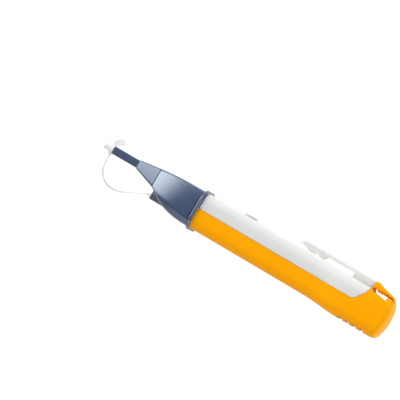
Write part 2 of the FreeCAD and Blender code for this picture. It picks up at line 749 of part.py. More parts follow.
def contact_spring():
    """A conical coil, wide on the plate and narrow on the cell."""
    height = SPRING_LENGTH - SPRING_WIRE
    slope = math.degrees(math.atan2(SPRING_TOP_RADIUS - SPRING_BASE_RADIUS, height))
    coil = Part.makeHelix(height / SPRING_TURNS, height, SPRING_BASE_RADIUS, slope)
    start = Vector(SPRING_BASE_RADIUS, 0, 0)
    wire = Part.Wire(Part.makeCircle(SPRING_WIRE / 2, start, Vector(0, 1, 0)))
    spring = Part.Wire(coil.Edges).makePipeShell([wire], True, True)
    spring.rotate(Vector(0, 0, 0), Vector(0, 1, 0), 90)
    spring.translate(point(STRIP_FRONT + SPRING_WIRE / 2, CELL_AXIS))
    return spring


def seam_section(x, inset):
    """The rounded rectangle where the two nose pieces meet, made smaller by inset."""
    return section(x, PROBE_AXIS + SEAM_ABOVE - inset, NOSE_UNDER + inset,
                   SEAM_HALF_WIDTH - inset, seam_corner(inset))


def seam_corner(inset):
    return max(SEAM_CORNER - inset, SEAM_INNER_CORNER)


def closing(body, seam, share, sweep):
    """A size on its way from the body's to the seam's, ever faster."""
    return body + (seam - body) * share ** sweep


def nose_outside():
    """A solid that leaves the body's size slowly and closes in on the seam's section."""
    wires = []
    for index in range(NOSE_SECTIONS):
        share = index / (NOSE_SECTIONS - 1)
        wires.append(section(
            NOSE_LENGTH * share,
            closing(BODY_TOP, PROBE_AXIS + SEAM_ABOVE, share, NOSE_SWEEP),
            closing(-BODY_TOP, NOSE_UNDER, share, NOSE_SWEEP),
            closing(BODY_SIDE, SEAM_HALF_WIDTH, share, NOSE_SIDE_SWEEP),
            SEAM_CORNER + (NOSE_CORNER - SEAM_CORNER) * (1 - share) ** NOSE_CORNER_SWEEP,
        ))
    return Part.makeLoft(wires, True)


def nose_room():
    """The straight funnel inside the nose, from the spigot to the mouth."""
    top = BODY_TOP - ROOM_INSET
    wide = section(COLLAR_REAR, top, -top, BODY_SIDE - ROOM_INSET, BODY_CORNER - ROOM_INSET)
    return Part.makeLoft([wide, seam_section(MOUTH_REAR, MOUTH_WALL)], True, True)


def nose_room_side(x):
    """Half the width of that funnel at x."""
    share = max(0.0, (x - COLLAR_REAR) / (MOUTH_REAR - COLLAR_REAR))
    wide = BODY_SIDE - ROOM_INSET
    return wide + (SEAM_HALF_WIDTH - MOUTH_WALL - wide) * share


def nose_cone():
    collar = bar(COLLAR_REAR, -COLLAR_REAR, BODY_TOP + COLLAR_LIP, -BODY_TOP - COLLAR_LIP,
                 REST_SIDE, BODY_CORNER + COLLAR_LIP)
    collar = collar.makeFillet(COLLAR_ROUND, edges_where(collar, lambda edge: spans(edge)[0] < TINY))
    spigot = body_bar(COLLAR_REAR - SPIGOT_LENGTH, 0.0, SPIGOT_INSET)
    lug_side = (-LUG_WIDTH / 2, LUG_WIDTH / 2)
    lug = box((LUG_FRONT - LUG_LENGTH, LUG_FRONT), (LUG_UNDER, NOSE_UNDER), lug_side)
    lug = lug.makeFillet(LUG_ROUND, edges_where(lug, lambda edge: spans(edge)[0] > LUG_ROUND
                                                and edge.CenterOfMass.y > -LUG_UNDER - TINY))
    throat = body_bar(COLLAR_REAR - SPIGOT_LENGTH, COLLAR_REAR, ROOM_INSET)
    mouth = Part.Face(seam_section(MOUTH_REAR, MOUTH_WALL)).extrude(Vector(MOUTH_LENGTH, 0, 0))
    hole = rod(PLUG_DIAMETER + 2 * PLUG_CLEARANCE, LUG_FRONT - PLUG_DEPTH, LUG_FRONT, TETHER_LEVEL)
    solid = fused((nose_outside(), collar, spigot, lug))
    hollows = (nose_room(), throat, mouth, hole, tongue_reach(TONGUE_CLEARANCE))
    return solid.cut(list(hollows))


def nose_tip():
    """The front taper, with a neck that makes the seam's groove and a plug into the nose."""
    rear = NOSE_LENGTH + SEAM_GROOVE
    half = TIP_FRONT_SIZE / 2
    front = section(TIP_FRONT, PROBE_AXIS + half, PROBE_AXIS - half, half, TIP_FRONT_CORNER)
    taper = Part.makeLoft([seam_section(rear, 0.0), front], True, True)
    neck = Part.Face(seam_section(NOSE_LENGTH, SEAM_GROOVE_DEPTH)).extrude(Vector(SEAM_GROOVE, 0, 0))
    plug_rear = MOUTH_REAR + TIP_PLUG_CLEARANCE
    plug_section = seam_section(plug_rear, MOUTH_WALL + TIP_PLUG_CLEARANCE)
    plug = Part.Face(plug_section).extrude(Vector(NOSE_LENGTH - plug_rear, 0, 0))
    socket = probe_bar(TIP_FRONT - PROBE_SEAT, TIP_FRONT, PROBE_CLEARANCE)
    way = rod(GUIDE_DIAMETER + 2 * GUIDE_WAY_CLEARANCE, plug_rear, TIP_FRONT, PROBE_AXIS)
    return fused((taper, neck, plug)).cut(socket).cut(way)


def probe_bar(x0, x1, grow):
    half = PROBE_SIZE / 2 + grow
    return bar(x0, x1, PROBE_AXIS + half, PROBE_AXIS - half, half, PROBE_CORNER + grow)


def probe_tube():
    blank = probe_bar(TIP_FRONT - PROBE_SEAT, PROBE_FRONT, 0.0)
    rim = edges_where(blank, lambda edge: edge.BoundBox.XMin > PROBE_FRONT - TINY)
    tube = blank.makeFillet(PROBE_ROUND, rim)
    end = PROBE_FRONT + PROBE_SPIGOT_LENGTH
    spigot = rod(PROBE_SPIGOT_DIAMETER, PROBE_FRONT - PROBE_ROUND, end, PROBE_AXIS)
    bore = rod(GUIDE_DIAMETER + 2 * GUIDE_CLEARANCE, TIP_FRONT - PROBE_SEAT, end, PROBE_AXIS)
    return fused((tube, spigot)).cut(bore)


def light_guide():
    return rod(GUIDE_DIAMETER, DIODE_FRONT + GUIDE_GAP, PROBE_FRONT + PROBE_SPIGOT_LENGTH, PROBE_AXIS)


def finger_tab():
    """A rounded leaf that leans back over the probe from the top of the ring."""
    foot = PROBE_AXIS + PROBE_SPIGOT_DIAMETER / 2 + ADAPTER_CLEARANCE + ADAPTER_ROUND
    top = PROBE_AXIS + TAB_RISE
    heel = PROBE_AXIS + ADAPTER_RING_DIAMETER / 2
    low = (heel + top) / 2
    leaf = plate(
        (
            (ADAPTER_REAR + ADAPTER_ROUND, foot),
            (RING_FRONT - ADAPTER_ROUND, foot),
            (RING_FRONT - ADAPTER_ROUND, low),
            (RING_FRONT - TAB_LENGTH / 2, top),
            (RING_FRONT - TAB_LENGTH, low + TAB_ROUND),
            (ADAPTER_REAR + ADAPTER_ROUND, heel + ADAPTER_ROUND),
        ),
        TAB_THICK,
    )
    corners = edges_where(leaf, lambda edge: spans(edge)[2] > TAB_THICK / 2
                          and edge.CenterOfMass.y < -low + TINY)
    return leaf.makeFillet(TAB_ROUND, corners)


def tip_adapter():
    ring = rod(ADAPTER_RING_DIAMETER, ADAPTER_REAR, RING_FRONT, PROBE_AXIS)
    ring = ring.makeFillet(ADAPTER_ROUND, edges_where(ring, lambda edge: spans(edge)[0] < TINY))
    nipple = rod(ADAPTER_NIPPLE_DIAMETER, RING_FRONT - ADAPTER_ROUND, FRONT_END, PROBE_AXIS)
    rim = edges_where(nipple, lambda edge: edge.BoundBox.XMin > RING_FRONT)
    nipple = nipple.makeFillet(ADAPTER_ROUND, rim)
    stub = post(ADAPTER_STUB_DIAMETER, PROBE_AXIS - ADAPTER_STUB_DROP,
                PROBE_AXIS - PROBE_SPIGOT_DIAMETER / 2 - ADAPTER_ROUND, adapter_middle())
    socket_front = PROBE_FRONT + PROBE_SPIGOT_LENGTH + ADAPTER_CLEARANCE
    socket = rod(PROBE_SPIGOT_DIAMETER + 2 * ADAPTER_CLEARANCE, ADAPTER_REAR, socket_front, PROBE_AXIS)
    bore = rod(FERRULE_BORE, socket_front, FRONT_END, PROBE_AXIS)
    return fused((ring, nipple, stub, finger_tab())).cut(socket).cut(bore)


def adapter_middle():
    return (ADAPTER_REAR + RING_FRONT) / 2


def tether_plug():
    """A headed plug in the lug, moulded on the end of the tether."""
    shank = rod(PLUG_DIAMETER, LUG_FRONT - PLUG_DEPTH + PLUG_CLEARANCE, LUG_FRONT, TETHER_LEVEL)
    head = rod(PLUG_HEAD_DIAMETER, LUG_FRONT, LUG_FRONT + PLUG_HEAD_LENGTH, TETHER_LEVEL)
    return fused((shank, head))


def tether_route():
    """All the points of the tether, from the plug's head to the adapter's stub."""
    start = point(LUG_FRONT + PLUG_HEAD_LENGTH + TETHER_SEAT_GAP, TETHER_LEVEL)
    end = point(adapter_middle(), PROBE_AXIS - ADAPTER_STUB_DROP - TETHER_SEAT_GAP)
    between = [start + (end - start) * share + point(0, lift, w) for share, lift, w in TETHER_POINTS]
    return [start] + between + [end]


def tether():
    """Straight runs joined by arcs as large as the runs allow."""
    route = tether_route()
    edges = []
    radii = []
    last = route[0]
    for before, corner, after in zip(route, route[1:], route[2:]):
        back = (before - corner).normalize()
        ahead = (after - corner).normalize()
        turn = math.pi - back.getAngle(ahead)
        trim = TETHER_TRIM * min(before.distanceToPoint(corner), corner.distanceToPoint(after))
        radius = trim / math.tan(turn / 2)
        inward = (back + ahead).normalize()
        middle = corner + inward * (radius / math.cos(turn / 2) - radius)
        start = corner + back * trim
        end = corner + ahead * trim
        edges.append(Part.makeLine(last, start))
        edges.append(Part.Arc(start, middle, end).toShape())
        radii.append(radius)
        last = end
    edges.append(Part.makeLine(last, route[-1]))
    path = Part.Wire(edges)
    start_way = route[1] - route[0]
    ring = Part.Wire(Part.makeCircle(TETHER_DIAMETER / 2, route[0], start_way))
    tube = path.makePipeShell([ring], True, False)
    ideal = math.pi * TETHER_DIAMETER ** 2 / 4 * path.Length
    print("tether length %.1f, radii %s" % (path.Length, " ".join("%.1f" % r for r in radii)))
    print("tether volume over section times length %.4f" % (tube.Volume / ideal))
    return tube


def pieces():
    front_cell, rear_cell = cell_places()
    return {
        "lower_shell": lower_shell(),
        "top_cover": top_cover(),
        "power_button": power_button(),
        "switch_plunger": switch_plunger(),
        "tact_switch": tact_switch(),
        "indicator_led": indicator_led(),
        "circuit_board": circuit_board(),
        "buzzer": buzzer(),
        "controller_chip": controller_chip(),
        "photodiode": photodiode(),
        "battery_front": battery(*front_cell),
        "battery_rear": battery(*rear_cell),
        "front_contact": front_contact(),
        "return_strip": strip_path(0.0),
        "contact_spring": contact_spring(),
        "nose_cone": nose_cone(),
        "nose_tip": nose_tip(),
        "probe_tube": probe_tube(),
        "light_guide": light_guide(),
        "tip_adapter": tip_adapter(),
        "tether_plug": tether_plug(),
        "tether": tether(),
    }


def main():
    os.makedirs("parts", exist_ok=True)
    shift = point(-ORIGIN_X, -ORIGIN_H, -ORIGIN_W)
    for name, shape in pieces().items():
        shape.translate(shift)
        count = len(shape.Solids)
        if count != 1 or not shape.isValid():
            print("%s: %d solids, valid %s" % (name, count, shape.isValid()))
        shape.Solids[0].exportStep("parts/%s.step" % name)
    hinge = point(HINGE_PLACE, HINGE_HEIGHT) + shift
    print("cover hinge at x %.3f y %.3f" % (hinge.x, hinge.y))


main()
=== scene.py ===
"""Looks of the live fiber detector, in metres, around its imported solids.

The tool lies on its side, +X toward the probe tip, with the button and clip toward -Y.
"""

import math

import bpy
from mathutils import Matrix, Vector


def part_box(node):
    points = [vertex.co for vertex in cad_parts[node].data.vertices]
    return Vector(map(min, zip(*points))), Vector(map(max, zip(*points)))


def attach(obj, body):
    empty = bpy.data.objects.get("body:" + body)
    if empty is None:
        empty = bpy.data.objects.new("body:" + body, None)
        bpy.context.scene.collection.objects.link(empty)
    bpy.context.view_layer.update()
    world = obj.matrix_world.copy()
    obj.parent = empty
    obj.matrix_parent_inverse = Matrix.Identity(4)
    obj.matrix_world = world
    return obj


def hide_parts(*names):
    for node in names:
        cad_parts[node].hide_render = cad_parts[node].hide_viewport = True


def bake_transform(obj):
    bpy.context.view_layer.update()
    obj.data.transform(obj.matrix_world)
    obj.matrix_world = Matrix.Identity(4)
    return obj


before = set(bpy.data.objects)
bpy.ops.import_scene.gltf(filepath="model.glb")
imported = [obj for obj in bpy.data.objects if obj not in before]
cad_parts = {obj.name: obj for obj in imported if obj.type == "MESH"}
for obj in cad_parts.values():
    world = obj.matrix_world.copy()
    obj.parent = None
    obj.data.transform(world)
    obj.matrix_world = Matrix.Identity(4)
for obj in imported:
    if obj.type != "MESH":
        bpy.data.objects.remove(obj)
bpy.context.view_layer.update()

MM = 0.001
WHITE = (1.0, 1.0, 1.0, 1.0)
BLACK = (0.0, 0.0, 0.0, 1.0)

# The camera looks down on the tool from a little behind it, rolled so that the tip is at the upper left.
VIEW_CENTRE = Vector((0.0273, -0.00317, 0.01196))
VIEW_BEHIND = math.radians(14.5)
VIEW_ROLL = math.radians(30.3)
VIEW_DISTANCE = 0.8
VIEW_WIDTH = 0.20315
SENSOR_WIDTH = 36.0

# The studio's sky is dim, with wide glows. Each glow has the turn from +X and the rise of its middle, the
# angles from its middle where it starts to fade and ends, all in degrees, and its radiance.
SKY_OVERHEAD = (0.25, 0.25, 0.25, 1.0)
SKY_HORIZON = (0.15, 0.15, 0.15, 1.0)
SKY_GLOWS = (
    (-19, 13, 8, 57, 5.3),
    (198, 20, 5, 48, 3.4),
    (95, 12, 5, 42, 1.9),
)

# The floor: half its side, how far it lies below the tool, the two tones of its paper, the size of the
# paper's tooth, and the light that it gives off.
FLOOR_HALF = 2.0
FLOOR_DROP = 0.05 * MM
FLOOR_TONE = (0.16, 0.16, 0.16, 1.0)
FLOOR_TOOTH_TONE = (0.15, 0.15, 0.15, 1.0)
FLOOR_TOOTH = 0.6 * MM
FLOOR_LIGHT = 0.9

# The level of the body's middle, and how far its crowned sides reach from there.
CROWN_LEVEL = 1.65 * MM
CROWN_HALF = 9.9 * MM

# The nose rolls under along its lower flank: where its crest line would cross x = 0, how it falls along X,
# and how far the flank reaches and drops beyond the crest.
CREST_START = 12.5 * MM
CREST_SLOPE = 0.184
FLANK_REACH = 4.0 * MM
FLANK_DROP = 1.7 * MM

# The clip's arm is rounded: the levels of its middle and of its teeth's feet, and how far its sides bulge.
CLIP_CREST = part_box("top_cover")[0][1]
CLIP_MIDDLE = CLIP_CREST + 2.8 * MM
CLIP_FOOT = CLIP_CREST + 4.1 * MM
CLIP_HALF = 2.0 * MM
CLIP_BULGE = 0.4 * MM

# Moulded plastic: the size and depth of its grain, the radius of its eased corners, the sizes of its cloudy
# tint and of the patches of wear on its corners, and the size and stretch of its scuffs.
GRAIN_SIZE = 0.25 * MM
GRAIN_DEPTH = 0.006 * MM
CORNER_ROUND = 0.25 * MM
CLOUD_SIZE = 14 * MM
WEAR_SIZE = 4 * MM
SCUFF_SIZE = 0.3 * MM
SCUFF_STRETCH = 12

# The reach within which walls make a groove or a deep gap, the share of its colour that a groove keeps under
# painted shade where no shade colour is given, and how far light spreads under the white plastic, with its
# shares of red, green and blue.
GROOVE_REACH = 2.0 * MM
DEEP_REACH = 5.0 * MM
GROOVE_SHADE_SHARE = 0.35
SEEP_REACH = 2.5 * MM
SEEP_SHARES = (1.0, 1.0, 0.9)

# The refractive index of clear plastic.
CLEAR_INDEX = 1.49

# A cell: the radius where its sleeve ends on its rim, how far back from the tip of its nub its pale band
# ends and its thin line lies, half the line's width, the reach and inner radius of its washer, and how far
# the edges of the print blur.
CELL_RIM = 4.3 * MM
CELL_BAND = 9.0 * MM
CELL_LINE = 10.5 * MM
CELL_LINE_HALF = 0.3 * MM
CELL_WASHER_DEPTH = 1.6 * MM
CELL_WASHER_RADIUS = CELL_RIM - 2.0 * MM
CELL_BLUR = 0.1 * MM
CELL_LINE_BLUR = 0.05 * MM

# The board's copper lanes: their pitch, and the sizes of the fields that share a direction or are filled.
LANE_PITCH = 0.8 * MM
LANE_FIELD = 6 * MM
LANE_FILL = 3.5 * MM

# The chip: half its width, how far its dimple lies from its front and from its middle, and the radii of the
# dimple's rim and floor.
CHIP_HALF = 1.95 * MM
CHIP_DIMPLE_BACK = 0.9 * MM
CHIP_DIMPLE_ASIDE = 1.1 * MM
CHIP_DIMPLE_RADIUS = 0.4 * MM
CHIP_DIMPLE_FLOOR = 0.32 * MM

# The switch: the pegs' distance from its middle along each side, and the radii of their feet and flat tops.
SWITCH_PEG = 2.3 * MM
SWITCH_PEG_RADIUS = 0.5 * MM
SWITCH_PEG_LEVEL = 0.42 * MM

# The pitch of the rings on the buzzer, the length of the photodiode's leads, and how far tin edges blur.
BUZZER_RING = 0.9 * MM
DIODE_LEADS = 2.8 * MM
TIN_BLUR = 0.05 * MM

# The tether's route, from the plug in the lug to the stub under the adapter.
TETHER_ROUTE = (
    (0.05138, 0.00761, 0.01120),
    (0.05243, 0.00761, 0.01120),
    (0.05346, 0.00770, 0.01103),
    (0.05444, 0.00787, 0.01070),
    (0.05534, 0.00812, 0.01022),
    (0.05752, 0.00903, 0.00849),
    (0.06019, 0.01007, 0.00654),
    (0.06283, 0.01117, 0.00457),
    (0.06553, 0.01232, 0.00273),
    (0.06841, 0.01349, 0.00120),
    (0.07164, 0.01460, 0.00060),
    (0.07502, 0.01503, 0.00125),
    (0.07788, 0.01414, 0.00299),
    (0.07994, 0.01228, 0.00507),
    (0.08125, 0.00983, 0.00716),
    (0.08178, 0.00698, 0.00905),
    (0.08164, 0.00381, 0.01063),
    (0.08161, 0.00258, 0.01103),
    (0.08160, 0.00149, 0.01120),
    (0.08160, 0.00044, 0.01120),
)
TETHER_DIAMETER = 0.001

# Small soldered parts: their sizes, the seed of their turns, the places of their middles along and across the
# board in millimetres, the share of the length from the middle where the tinned ends start, and the attribute
# that marks them.
SMALL_PART_SIZES = {"Length": 1.6 * MM, "Width": 0.8 * MM, "Height": 0.5 * MM}
SMALL_PART_SEED = 7
SMALL_PART_PLACES = (
    (5.0, -5.4), (5.0, -3.0), (5.0, 3.0), (5.0, 5.4), (18.6, -4.2), (18.6, -1.6), (18.6, 1.6), (18.6, 4.2),
    (21.4, -3.0), (21.4, 0.0), (21.4, 3.0), (24.4, -3.6), (24.4, 0.4), (24.4, 3.6), (27.6, -2.0), (27.6, 2.0),
    (30.8, -1.4), (30.8, 1.6), (33.6, 0.0),
)
TIN_START = 0.25
TIN_END = "tin_end"

# Sockets that share their names: a Mix node's for colours, and a Random Value node's for whole numbers.
MIX_FACTOR = 0
MIX_FIRST = 6
MIX_SECOND = 7
MIX_RESULT = 2
RANDOM_LOWEST = 4
RANDOM_HIGHEST = 5
RANDOM_RESULT = 2


class Signal:
    """One shader output. A sum with it adds the nodes that work it out."""

    def __init__(self, finish, socket):
        self.finish = finish
        self.socket = socket

    def combine(self, operation, first, second):
        return self.finish.add("ShaderNodeMath", {"operation": operation}, {0: first, 1: second})

    def __add__(self, other):
        return self.combine("ADD", self, other)

    def __radd__(self, other):
        return self.combine("ADD", other, self)

    def __sub__(self, other):
        return self.combine("SUBTRACT", self, other)

    def __rsub__(self, other):
        return self.combine("SUBTRACT", other, self)

    def __mul__(self, other):
        return self.combine("MULTIPLY", self, other)

    def __rmul__(self, other):
        return self.combine("MULTIPLY", other, self)

    def __truediv__(self, other):
        return self.combine("DIVIDE", self, other)

    def __rtruediv__(self, other):
        return self.combine("DIVIDE", other, self)

    def __pow__(self, other):
        return self.combine("POWER", self, other)

    def __rpow__(self, other):
        return self.combine("POWER", other, self)

    def __mod__(self, other):
        return self.combine("FLOORED_MODULO", self, other)

    def __rmod__(self, other):
        return self.combine("FLOORED_MODULO", other, self)

    def __gt__(self, other):
        return self.combine("GREATER_THAN", self, other)

    def __lt__(self, other):
        return self.combine("LESS_THAN", self, other)

    def __abs__(self):
        return self.combine("ABSOLUTE", self, 0.0)

    def at_least(self, limit):
        return self.combine("MAXIMUM", self, limit)

    def at_most(self, limit):
        return self.combine("MINIMUM", self, limit)


def add_node(tree, kind, settings=None, sockets=None):
    """A node with its settings, then its sockets' values or links."""
    node = tree.nodes.new(kind)
    for name, value in (settings or {}).items():
        setattr(node, name, value)
    for key, value in (sockets or {}).items():
        if isinstance(value, bpy.types.NodeSocket):
            tree.links.new(value, node.inputs[key])
        else:
            node.inputs[key].default_value = value
    return node


class Finish:
    """The nodes of a material or of the sky, added one by one."""

    def __init__(self, owner):
        self.owner = owner
        owner.use_nodes = True
        self.tree = owner.node_tree
        self.tree.nodes.clear()

    @classmethod
    def of_material(cls, name):
        return cls(bpy.data.materials.new(name))

    def add(self, kind, settings=None, sockets=None, output=0):
        """A node whose sockets may take signals; gives one of its outputs."""
        plain = {}
        for key, value in (sockets or {}).items():
            plain[key] = value.socket if isinstance(value, Signal) else value
        node = add_node(self.tree, kind, settings, plain)
        return Signal(self, node.outputs[output])

    def place(self):
        return self.add("ShaderNodeTexCoord", output="Object")

    def along(self, vector, axis):
        return self.add("ShaderNodeSeparateXYZ", None, {0: vector}, axis)

    def noise(self, vector, size, detail=2.0):
        """Noise from 0 to 1 whose patches are about that size."""
        return self.add("ShaderNodeTexNoise", None, {"Vector": vector, "Scale": 1 / size, "Detail": detail})

    def ramp(self, value, off, full):
        """0 at off and 1 at full, smooth between and flat beyond; off may be the larger."""
        return self.add("ShaderNodeMapRange", {"interpolation_type": "SMOOTHSTEP"},
                        {"Value": value, "From Min": off, "From Max": full})

    def mix(self, factor, first, second, blend="MIX"):
        """From the first colour to the second, or to their sum with the blend ADD."""
        return self.add("ShaderNodeMix", {"data_type": "RGBA", "blend_type": blend},
                        {MIX_FACTOR: factor, MIX_FIRST: first, MIX_SECOND: second}, MIX_RESULT)

    def dot(self, first, second):
        return self.add("ShaderNodeVectorMath", {"operation": "DOT_PRODUCT"}, {0: first, 1: second}, "Value")

    def turned(self):
        """The direction that the bare surface faces."""
        return self.add("ShaderNodeNewGeometry", output="Normal")

    def soft_edge(self, radius):
        """The surface's direction with its corners eased to that radius."""
        return self.add("ShaderNodeBevel", {"samples": 6}, {"Radius": radius})

    def edge_mask(self, eased):
        """1 along the corners that were eased, 0 on the faces."""
        return self.ramp(1 - self.dot(eased, self.turned()), off=0.02, full=0.25)

    def recess(self, reach):
        """How far the piece's own walls close in: 0 in the open, more in grooves and corners."""
        local = {"samples": 8, "only_local": True}
        free = self.add("ShaderNodeAmbientOcclusion", local, {"Distance": reach}, "AO")
        return 1 - free

    def streaks(self, vector, size, stretch):
        """Noise drawn out along X by that stretch."""
        shares = (1 / stretch, 1.0, 1.0)
        drawn = self.add("ShaderNodeVectorMath", {"operation": "MULTIPLY"}, {0: vector, 1: shares})
        return self.noise(drawn, size, detail=3.0)

    def away(self, place, axes, centre):
        """The distance from a line along the axis that isn't named."""
        squares = 0.0
        for axis, middle in zip(axes, centre):
            offset = self.along(place, axis) - middle
            squares = offset * offset + squares
        return squares ** 0.5

    def bump(self, height, depth, normal=None, sunk=False):
        """The surface's direction as if it rose by depth where the height is 1, or sank."""
        sockets = {"Height": height, "Distance": depth, "Strength": 1.0}
        if normal is not None:
            sockets["Normal"] = normal
        return self.add("ShaderNodeBump", {"invert": sunk}, sockets)

    def crowned(self, place, rise, normal):
        """The surface's direction as if its sides bulged by that rise halfway up."""
        height = (self.along(place, "Y") - CROWN_LEVEL) / CROWN_HALF
        return self.bump(height * height, rise, normal, sunk=True)

    def rolled(self, place, normal):
        """The surface's direction as if the nose rolled under below its crest line."""
        crest = CREST_START - CREST_SLOPE * self.along(place, "X")
        reach = (self.along(place, "Y") - crest) / FLANK_REACH
        beyond = reach.at_least(0.0)
        return self.bump(beyond * beyond, FLANK_DROP, normal, sunk=True)

    def rounded(self, place, normal):
        """The surface's direction as if the sides of the clip's arm were round."""
        reach = (self.along(place, "Y") - CLIP_MIDDLE) / CLIP_HALF
        above = reach.at_most((CLIP_FOOT - CLIP_MIDDLE) / CLIP_HALF)
        return self.bump(above * above, CLIP_BULGE, normal, sunk=True)

    def shade(self, **sockets):
        """Closes the material with one surface shader; a socket's name has _ for each space."""
        named = {name.replace("_", " "): value for name, value in sockets.items()}
        surface = self.add("ShaderNodeBsdfPrincipled", None, named)
        return self.close("ShaderNodeOutputMaterial", surface)

    def close(self, kind, surface):
        """Links the last shader to the output and gives the finished material or sky."""
        add_node(self.tree, kind, None, {"Surface": surface.socket})
        return self.owner


def rgba(red, green, blue):
    """A colour given as it shows on a screen, 0 to 255, in linear light."""
    shown = (value / 255 for value in (red, green, blue))
    linear = (v / 12.92 if v <= 0.04045 else ((v + 0.055) / 1.055) ** 2.4 for v in shown)
    return (*linear, 1.0)


def dimmed(colour, share):
    """That share of a colour's light."""
    return (*(channel * share for channel in colour[:3]), 1.0)


def middle_of(node, axes):
    """The middle of a solid's box along the axes with those numbers."""
    low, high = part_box(node)
    return [(low[axis] + high[axis]) / 2 for axis in axes]


def moulded(name, colour, worn, roughness, spread=0.08, specular=0.5, index=1.5, sheen=WHITE, crown=0.0,
            curve=None, groove_shade=None, seep=0.0, painted_glow=None):
    """Moulded plastic: fine grain, a cloudy tint, crowned walls, scuffs, painted shade in grooves, a painted
    glow in deep gaps where one is given, and paled corners.
    """
    finish = Finish.of_material(name)
    place = finish.place()
    cloud = finish.noise(place, CLOUD_SIZE, detail=3.0)
    speck = finish.noise(place, GRAIN_SIZE, detail=3.0)
    eased = finish.soft_edge(CORNER_ROUND)
    worn_share = finish.edge_mask(eased) * (0.25 + 0.5 * finish.noise(place, WEAR_SIZE))
    scuff = finish.ramp(finish.streaks(place, SCUFF_SIZE, SCUFF_STRETCH), off=0.62, full=0.75)
    shaded = finish.mix(cloud * 0.5, colour, dimmed(colour, 1 - spread))
    # Painted shade: where the piece's own walls close in, its grooves and inner corners darken towards the
    # shade colour.
    groove_shade_mask = finish.ramp(finish.recess(GROOVE_REACH), off=0.04, full=0.28)
    groove_shaded = finish.mix(groove_shade_mask, shaded, groove_shade or dimmed(colour, GROOVE_SHADE_SHARE))
    facing = eased
    if crown:
        facing = finish.crowned(place, crown, facing)
    if curve:
        facing = curve(finish, place, facing)
    # Painted light: deep gaps glow in the given colour, as if light reached into them.
    painted_glow_sockets = {}
    if painted_glow:
        deep_glow_mask = finish.ramp(finish.recess(DEEP_REACH), off=0.55, full=0.8)
        painted_glow_sockets = {"Emission_Color": finish.mix(deep_glow_mask, BLACK, painted_glow), "Emission_Strength": 1.0}
    return finish.shade(
        Base_Color=finish.mix(worn_share, groove_shaded, worn),
        Roughness=roughness + 0.1 * speck + 0.05 * cloud + 0.06 * scuff - 0.08 * worn_share,
        Normal=finish.bump(speck, GRAIN_DEPTH, facing),
        IOR=index,
        Specular_IOR_Level=specular,
        Specular_Tint=sheen,
        Subsurface_Weight=seep,
        Subsurface_Radius=SEEP_SHARES,
        Subsurface_Scale=SEEP_REACH,
        **painted_glow_sockets,
    )


def clear_plastic(name, tint, roughness, cloudy):
    """Clear moulded plastic, more or less cloudy, with faint flow lines and soft corners."""
    finish = Finish.of_material(name)
    flow = finish.streaks(finish.place(), size=1.2 * MM, stretch=4)
    return finish.shade(
        Base_Color=finish.mix(flow, tint, dimmed(tint, share=0.94)),
        Roughness=roughness + 0.1 * flow,
        Normal=finish.bump(flow, depth=0.01 * MM, normal=finish.soft_edge(radius=0.1 * MM)),
        Transmission_Weight=1 - cloudy,
        IOR=CLEAR_INDEX,
    )


def plated(name, colour, roughness):
    """Plated spring metal with fine drawn lines and a few dull patches."""
    finish = Finish.of_material(name)
    place = finish.place()
    lines = finish.streaks(place, size=0.1 * MM, stretch=20)
    patch = finish.noise(place, size=3 * MM)
    return finish.shade(
        Base_Color=finish.mix(patch, colour, dimmed(colour, share=0.75)),
        Metallic=1.0,
        Roughness=roughness + 0.15 * lines + 0.08 * patch,
        Normal=finish.bump(lines, depth=0.003 * MM, normal=finish.soft_edge(radius=0.08 * MM)),
    )


def cell_sleeve(name, node):
    """A cell in its printed sleeve, with bare ends, a washer round the nub, a pale band and a thin line."""
    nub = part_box(node)[1][0]
    finish = Finish.of_material(name)
    place = finish.place()
    ahead = finish.along(place, "X")
    radius = finish.away(place, "YZ", middle_of(node, (1, 2)))
    sleeve = finish.ramp(radius, off=CELL_RIM - CELL_BLUR, full=CELL_RIM)
    band = finish.ramp(ahead, off=nub - CELL_BAND - CELL_BLUR, full=nub - CELL_BAND)
    from_line = abs(ahead - (nub - CELL_LINE))
    line = finish.ramp(from_line, off=CELL_LINE_HALF + CELL_LINE_BLUR, full=CELL_LINE_HALF)
    washer = (ahead > nub - CELL_WASHER_DEPTH) * (radius > CELL_WASHER_RADIUS)
    rub = finish.ramp(finish.streaks(place, size=0.5 * MM, stretch=8), off=0.6, full=0.8)
    print_colour = finish.mix(band + line, rgba(88, 100, 116), rgba(196, 200, 198))
    printed = finish.mix(rub * 0.3, print_colour, rgba(150, 152, 154))
    bare = finish.mix(washer, rgba(205, 205, 203), rgba(224, 222, 214))
    relief = sleeve + band * 0.2
    return finish.shade(
        Base_Color=finish.mix(sleeve, bare, printed),
        Metallic=(1 - sleeve) * (1 - washer),
        Roughness=0.25 + 0.15 * sleeve + 0.1 * rub,
        Normal=finish.bump(relief, depth=0.05 * MM, normal=finish.soft_edge(radius=0.15 * MM)),
    )


def board_mask(name):
    """Green solder mask over copper lanes, with bare laminate on the cut edges."""
    finish = Finish.of_material(name)
    place = finish.place()
    flat = finish.ramp(abs(finish.along(finish.turned(), "Y")), off=0.5, full=0.8)
    across = finish.ramp(finish.noise(place, LANE_FIELD, detail=0.0), off=0.48, full=0.5)
    lanes = [abs((finish.along(place, axis) / LANE_PITCH) % 1.0 - 0.5) for axis in "XZ"]
    lane = across * lanes[0] + (1 - across) * lanes[1]
    filled = finish.ramp(finish.noise(place, LANE_FILL, detail=0.0), off=0.45, full=0.47)
    copper = finish.ramp(lane, off=0.2, full=0.16) * filled
    weave = finish.noise(place, size=0.3 * MM)
    mask = finish.mix(copper, rgba(14, 84, 46), rgba(36, 122, 66))
    laminate = finish.mix(weave, rgba(168, 150, 96), rgba(138, 120, 72))
    return finish.shade(
        Base_Color=finish.mix(flat, laminate, mask),
        Roughness=0.6 - 0.35 * flat + 0.1 * weave,
        Normal=finish.bump(copper * flat + weave * 0.1, depth=0.03 * MM),
    )


